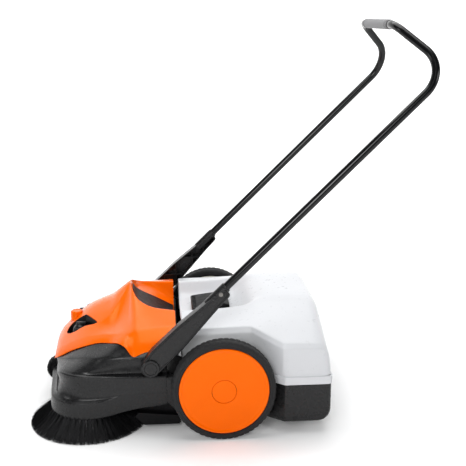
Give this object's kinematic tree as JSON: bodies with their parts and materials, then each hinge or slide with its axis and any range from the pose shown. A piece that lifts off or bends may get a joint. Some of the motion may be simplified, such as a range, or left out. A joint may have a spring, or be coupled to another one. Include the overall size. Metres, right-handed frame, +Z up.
{
  "type": "walk behind sweeper",
  "caption": "Manual push sweeper with twin disc brushes, a roller brush driven by the wheels, a slide-out dirt hopper and a folding push handle.",
  "frame": {"origin": "middle of the footprint, on the floor", "axes": "+X the direction of travel, +Y the operator's left, +Z up"},
  "size_m": [1.096, 0.707, 1.0995],
  "materials": {
    "orange_plastic": "moulded, satin gloss",
    "white_plastic": "moulded, satin",
    "dark_grey_plastic": "moulded, fine grain",
    "black_plastic": "moulded, matt",
    "tyre_rubber": "moulded rubber",
    "belt_rubber": "plain",
    "bristle": "polypropylene filament",
    "steel": "zinc plated",
    "gear_plastic": "acetal",
    "bearing_plastic": "acetal",
    "black_tube": "gloss powder coat",
    "grey_grip": "soft foam grip"
  },
  "bodies": {
    "chassis": {"chassis_frame": "black_plastic", "front_shroud": "dark_grey_plastic", "hood": "orange_plastic", "hood_recess_liner": "black_plastic", "left_side_cover": "dark_grey_plastic", "right_side_cover": "dark_grey_plastic", "side_skids": "black_plastic", "wheel_axles": "steel", "pivot_pins": "steel", "left_drive_belt": "belt_rubber", "right_drive_belt": "belt_rubber", "roller_bearings": "bearing_plastic", "spindle_bushes": "bearing_plastic", "lay_shaft_bearings": "bearing_plastic", "front_dirt_lip": "belt_rubber", "front_bracket": "black_plastic"},
    "left_wheel": {"left_tyre": "tyre_rubber", "left_rim": "black_plastic", "left_ring_gear": "gear_plastic", "left_wheel_disc": "orange_plastic", "left_hub_cap": "orange_plastic"},
    "right_wheel": {"right_tyre": "tyre_rubber", "right_rim": "black_plastic", "right_ring_gear": "gear_plastic", "right_wheel_disc": "orange_plastic", "right_hub_cap": "orange_plastic"},
    "roller_brush": {"roller_shaft": "steel", "roller_core": "black_plastic", "roller_bristles": "bristle", "roller_pulleys": "gear_plastic", "left_pinion": "gear_plastic"},
    "right_pinion_freewheel": {"right_pinion": "gear_plastic"},
    "left_lay_drive": {"left_lay_shaft": "steel", "left_bevel_pinion": "gear_plastic"},
    "right_lay_drive": {"right_lay_shaft": "steel", "right_bevel_pinion": "gear_plastic"},
    "left_disc_brush": {"left_brush_spindle": "steel", "left_crown_gear": "gear_plastic", "left_brush_plate": "black_plastic", "left_disc_bristles": "bristle"},
    "right_disc_brush": {"right_brush_spindle": "steel", "right_crown_gear": "gear_plastic", "right_brush_plate": "black_plastic", "right_disc_bristles": "bristle"},
    "push_handle": {"left_arm": "dark_grey_plastic", "right_arm": "dark_grey_plastic", "left_handle_tube": "black_tube", "right_handle_tube": "black_tube", "pivot_caps": "dark_grey_plastic", "grip_sleeve": "grey_grip", "arm_screws": "steel"},
    "hopper": {"hopper_shell": "white_plastic", "hopper_bin": "dark_grey_plastic", "hopper_hinges": "black_plastic"},
    "hopper_bail": {"hopper_handle": "black_plastic"},
    "knob": {"height_knob": "orange_plastic"},
    "support_carriage": {"support_fork": "black_plastic"},
    "support_wheel": {"support_roller": "black_plastic"},
    "left_lever": {"left_brush_lever": "dark_grey_plastic"},
    "right_lever": {"right_brush_lever": "dark_grey_plastic"}
  },
  "joints": [
    {"name": "left_wheel_spin", "type": "hinge", "parent": "chassis", "child": "left_wheel", "pos_m": [0.01479, 0.332, 0.14], "axis": [0, 1, 0], "continuous": true},
    {"name": "right_wheel_spin", "type": "hinge", "parent": "chassis", "child": "right_wheel", "pos_m": [0.01479, -0.332, 0.14], "axis": [0, 1, 0], "continuous": true},
    {"name": "roller_spin", "type": "hinge", "parent": "chassis", "child": "roller_brush", "pos_m": [0.03479, 0, 0.07553], "axis": [0, 1, 0], "continuous": true},
    {"name": "right_pinion_spin", "type": "hinge", "parent": "chassis", "child": "right_pinion_freewheel", "pos_m": [0.03479, -0.319, 0.07553], "axis": [0, 1, 0], "continuous": true},
    {"name": "left_lay_spin", "type": "hinge", "parent": "chassis", "child": "left_lay_drive", "pos_m": [0.38579, 0.2, 0.146], "axis": [0, 1, 0], "continuous": true},
    {"name": "right_lay_spin", "type": "hinge", "parent": "chassis", "child": "right_lay_drive", "pos_m": [0.38579, -0.2, 0.146], "axis": [0, 1, 0], "continuous": true},
    {"name": "left_brush_spin", "type": "hinge", "parent": "chassis", "child": "left_disc_brush", "pos_m": [0.38579, 0.1885, 0.09], "axis": [0, 0, 1], "continuous": true},
    {"name": "right_brush_spin", "type": "hinge", "parent": "chassis", "child": "right_disc_brush", "pos_m": [0.38579, -0.1885, 0.09], "axis": [0, 0, 1], "continuous": true},
    {"name": "handle_fold", "type": "hinge", "parent": "chassis", "child": "push_handle", "pos_m": [0.20879, 0, 0.196], "axis": [0, 1, 0], "range_deg": [0, 110]},
    {"name": "hopper_slide", "type": "slide", "parent": "chassis", "child": "hopper", "axis": [-1, 0, 0], "range_m": [0, 0.3]},
    {"name": "hopper_bail_lift", "type": "hinge", "parent": "hopper", "child": "hopper_bail", "pos_m": [-0.01521, 0, 0.268], "axis": [0, -1, 0], "range_deg": [0, 85]},
    {"name": "height_knob_turn", "type": "hinge", "parent": "chassis", "child": "knob", "pos_m": [0.42879, 0, 0.24], "axis": [0, 0, 1], "range_deg": [0, 270]},
    {"name": "support_drop", "type": "slide", "parent": "chassis", "child": "support_carriage", "axis": [0, 0, -1], "range_m": [0, 0.042]},
    {"name": "support_wheel_spin", "type": "hinge", "parent": "support_carriage", "child": "support_wheel", "pos_m": [0.48779, 0, 0.08], "axis": [0, 1, 0], "continuous": true},
    {"name": "left_lever_tilt", "type": "hinge", "parent": "chassis", "child": "left_lever", "pos_m": [0.41679, 0.061, 0.219], "axis": [0, 1, 0], "range_deg": [0, 20]},
    {"name": "right_lever_tilt", "type": "hinge", "parent": "chassis", "child": "right_lever", "pos_m": [0.41679, -0.061, 0.219], "axis": [0, 1, 0], "range_deg": [0, 20]}
  ],
  "couplings": [
    {"joint": "roller_spin", "follows": "left_wheel_spin", "ratio": 4},
    {"joint": "left_lay_spin", "follows": "left_wheel_spin", "ratio": 4},
    {"joint": "right_lay_spin", "follows": "left_wheel_spin", "ratio": 4},
    {"joint": "left_brush_spin", "follows": "left_wheel_spin", "ratio": -1.3333},
    {"joint": "right_brush_spin", "follows": "left_wheel_spin", "ratio": 1.3333},
    {"joint": "right_pinion_spin", "follows": "right_wheel_spin", "ratio": 4},
    {"joint": "height_knob_turn", "follows": "support_drop", "rad_per_m": 112}
  ]
}
